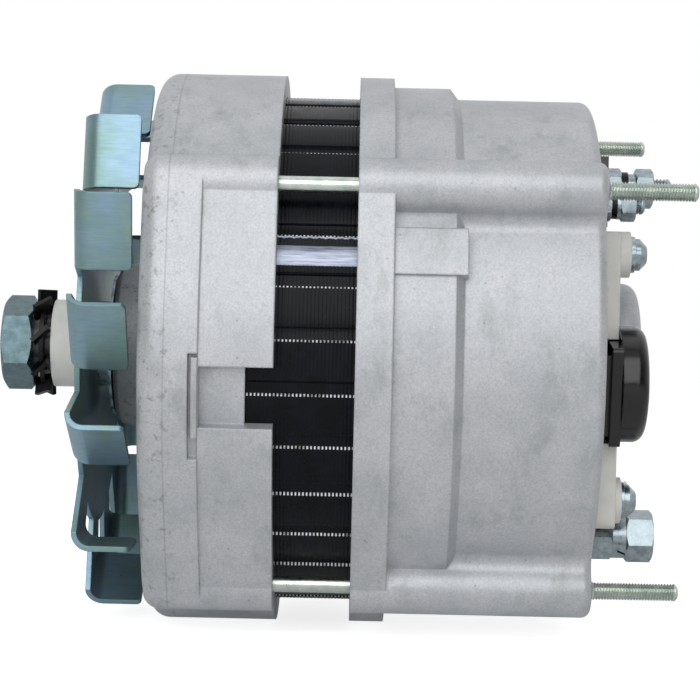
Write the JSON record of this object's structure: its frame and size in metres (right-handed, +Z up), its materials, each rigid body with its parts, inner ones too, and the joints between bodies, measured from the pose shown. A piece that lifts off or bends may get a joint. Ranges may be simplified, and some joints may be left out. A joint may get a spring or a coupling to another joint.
{
  "type": "generator alternator head",
  "caption": "Alternator head with two cast end brackets clamping a stator, claw-pole rotor in ball bearings, pressed cooling fan, brush gear, rectifier and rear terminal studs.",
  "frame": {"origin": "on the shaft's axis at the rear face of the slip-ring-end bracket, which is the centre of the circle of through-bolt ends", "axes": "+X along the shaft towards the slip rings and terminals, +Z up, -Y towards the side with the terminal plate"},
  "size_m": [0.1939, 0.1835, 0.159],
  "materials": {
    "cast_aluminium": "as cast, fine grit",
    "lacquered_steel": "gloss black lacquer on laminations",
    "copper_winding": "enamelled copper wire",
    "zinc_steel": "bright zinc plate",
    "fan_steel": "blue-passivated zinc on pressed sheet",
    "bearing_steel": "ground and polished",
    "rotor_steel": "forged, bare",
    "spring_steel": "blackened spring steel",
    "cream_plastic": "moulded",
    "black_plastic": "moulded, semi-gloss",
    "nylon": "moulded",
    "copper": "turned",
    "carbon": "pressed carbon",
    "sheet_aluminium": "rolled sheet"
  },
  "bodies": {
    "housing": {"drive_end_bracket": "cast_aluminium", "slip_ring_end_bracket": "cast_aluminium", "stator_core": "lacquered_steel", "stator_windings": "copper_winding", "through_bolts": "zinc_steel", "front_bearing_outer_race": "bearing_steel", "rear_bearing_outer_race": "bearing_steel", "bearing_retainer": "zinc_steel", "retainer_screws": "zinc_steel", "positive_plate": "sheet_aluminium", "negative_plate": "sheet_aluminium", "rectifier_diodes": "copper", "rectifier_insulators": "nylon", "rectifier_screws": "zinc_steel", "terminal_plate": "cream_plastic", "terminal_plate_screws": "zinc_steel", "terminal_plate_washers": "zinc_steel", "brush_holder": "black_plastic", "regulator_cap": "black_plastic", "regulator_module": "black_plastic", "regulator_screws": "zinc_steel", "front_brush_spring": "zinc_steel", "rear_brush_spring": "zinc_steel", "output_stud": "zinc_steel", "output_nuts": "zinc_steel", "output_washers": "zinc_steel", "main_terminal_stud": "zinc_steel", "main_terminal_nuts": "zinc_steel", "main_terminal_washers": "zinc_steel", "small_terminal_stud": "zinc_steel", "small_terminal_nuts": "zinc_steel", "small_terminal_washers": "zinc_steel", "terminal_spring_washers": "spring_steel", "stud_insulators": "black_plastic"},
    "rotor": {"rotor_shaft": "rotor_steel", "shaft_key": "rotor_steel", "front_claw_pole": "rotor_steel", "rear_claw_pole": "rotor_steel", "rotor_core": "rotor_steel", "field_bobbin": "nylon", "field_coil": "copper_winding", "slip_ring_sleeve": "black_plastic", "slip_rings": "copper", "front_bearing_inner_race": "bearing_steel", "rear_bearing_inner_race": "bearing_steel", "fan": "fan_steel", "fan_collar": "zinc_steel", "pulley_spacer_sleeve": "cream_plastic", "lock_washer": "spring_steel", "shaft_nut": "fan_steel"},
    "front_ball_train": {"front_bearing_balls": "bearing_steel", "front_bearing_cage": "nylon"},
    "rear_ball_train": {"rear_bearing_balls": "bearing_steel", "rear_bearing_cage": "nylon"},
    "front_brush": {"front_brush": "carbon"},
    "rear_brush": {"rear_brush": "carbon"}
  },
  "joints": [
    {"name": "rotor_spin", "type": "hinge", "parent": "housing", "child": "rotor", "pos_m": [0, 0, 0], "axis": [1, 0, 0], "continuous": true},
    {"name": "front_balls_roll", "type": "hinge", "parent": "housing", "child": "front_ball_train", "pos_m": [-0.121, 0, 0], "axis": [1, 0, 0], "continuous": true},
    {"name": "rear_balls_roll", "type": "hinge", "parent": "housing", "child": "rear_ball_train", "pos_m": [0.0075, 0, 0], "axis": [1, 0, 0], "continuous": true},
    {"name": "front_brush_slide", "type": "slide", "parent": "housing", "child": "front_brush", "axis": [0, -0.9799, -0.1994], "range_m": [0, 0.005], "stiffness_N_per_m": 400, "springref_m": -0.01, "deforming": ["front_brush_spring"]},
    {"name": "rear_brush_slide", "type": "slide", "parent": "housing", "child": "rear_brush", "axis": [0, -0.9799, -0.1994], "range_m": [0, 0.005], "stiffness_N_per_m": 400, "springref_m": -0.01, "deforming": ["rear_brush_spring"]}
  ],
  "couplings": [
    {"joint": "front_balls_roll", "follows": "rotor_spin", "ratio": 0.3807},
    {"joint": "rear_balls_roll", "follows": "rotor_spin", "ratio": 0.38}
  ]
}
